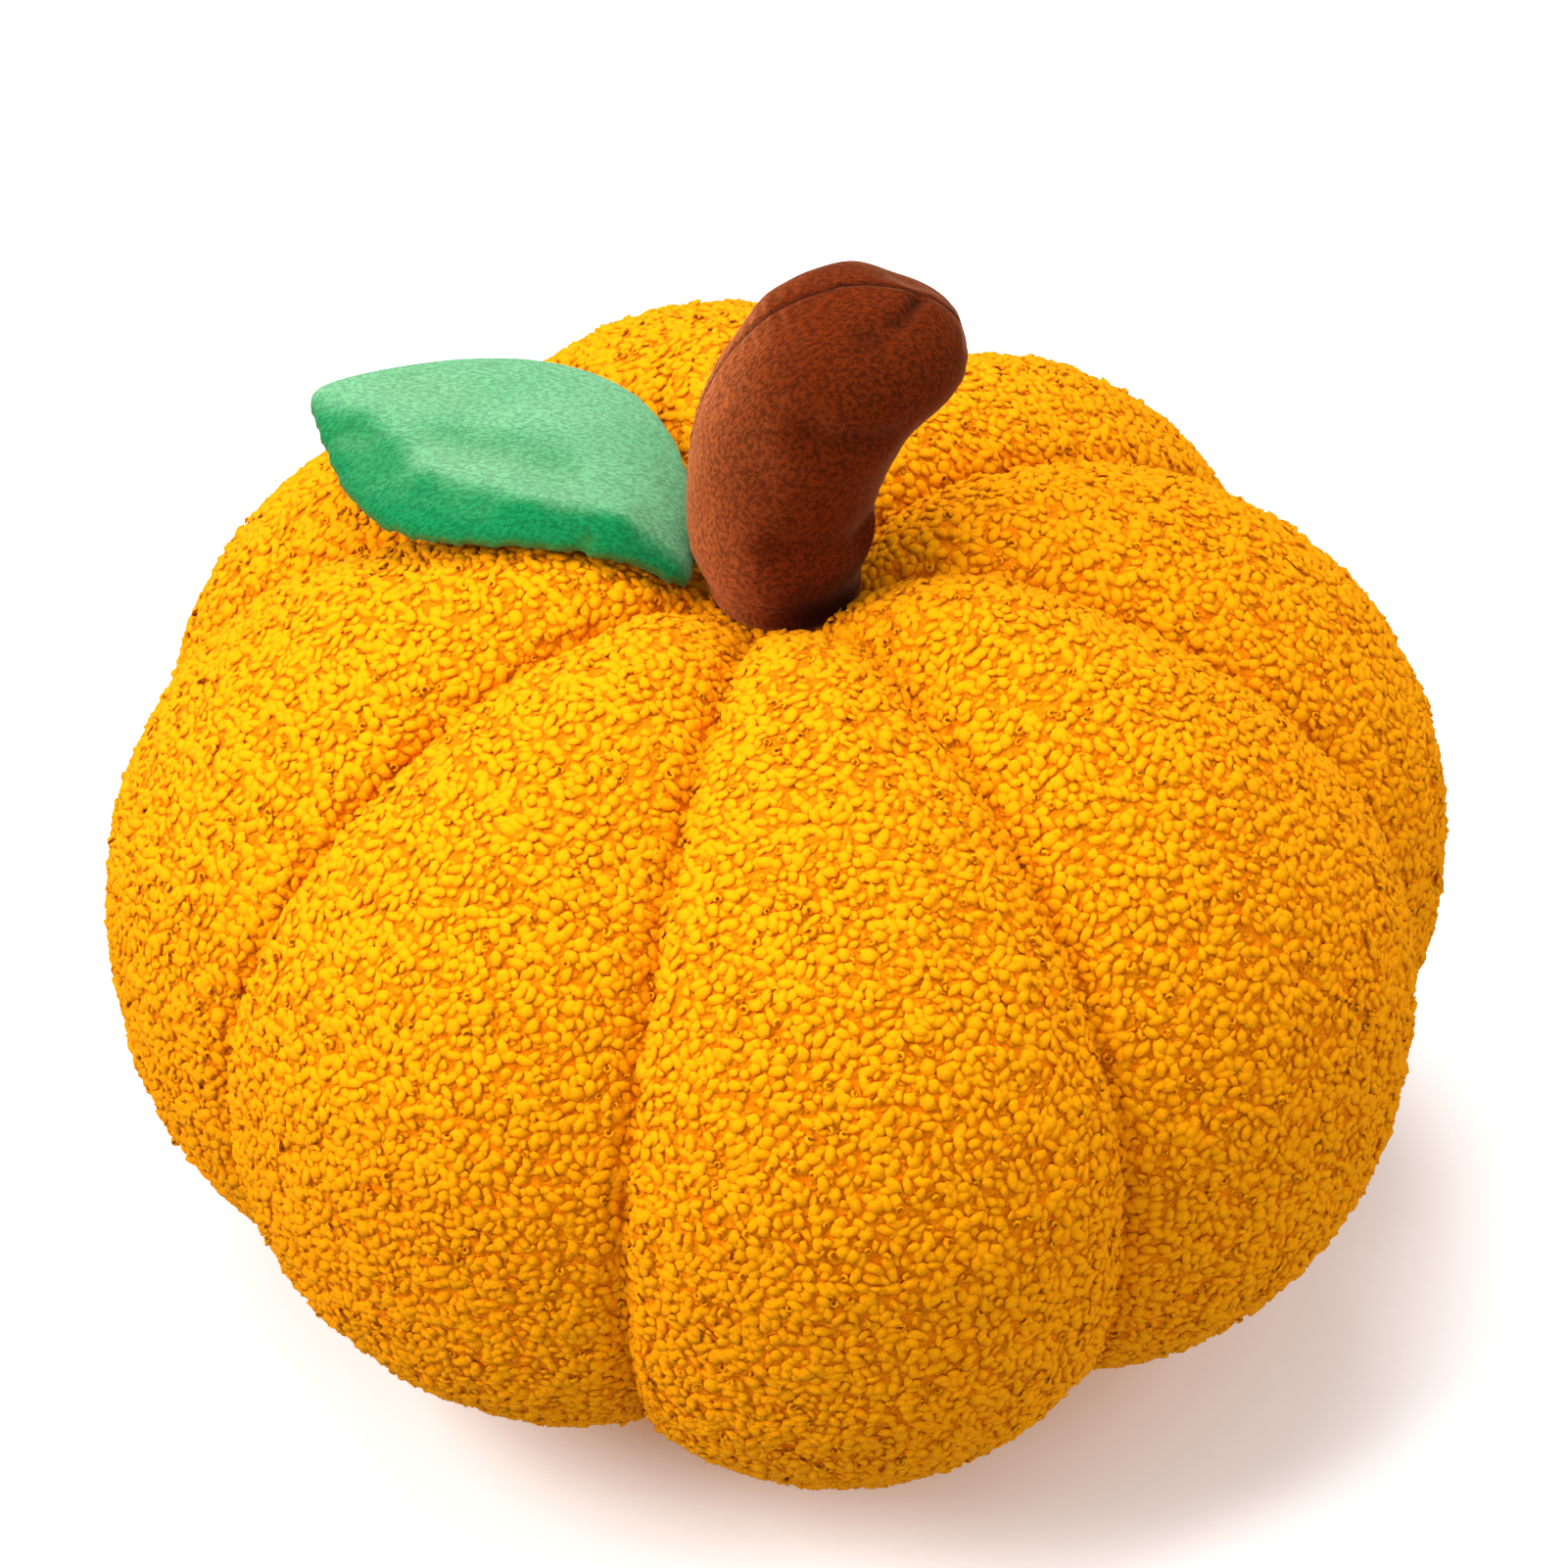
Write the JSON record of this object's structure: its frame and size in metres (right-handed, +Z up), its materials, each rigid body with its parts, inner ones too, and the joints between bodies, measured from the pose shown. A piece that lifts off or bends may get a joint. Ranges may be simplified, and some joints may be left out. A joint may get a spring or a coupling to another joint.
{
  "type": "pumpkin cushion",
  "caption": "Round filled cushion in the form of a pumpkin, with full lobes between drawn-in seams, a bent stuffed stem and a padded leaf.",
  "frame": {"origin": "on the surface that the cushion rests on, under the middle of the body", "axes": "+Z up, front toward -Y, the stem bends toward +X"},
  "size_m": [0.3715, 0.3879, 0.3129],
  "materials": {
    "body_boucle": "orange looped boucle, matt",
    "stem_velvet": "dark brown short-pile velvet",
    "leaf_velvet": "mint green short-pile velvet"
  },
  "bodies": {
    "root": {"body": "body_boucle", "stem": "stem_velvet", "leaf": "leaf_velvet"}
  },
  "joints": []
}
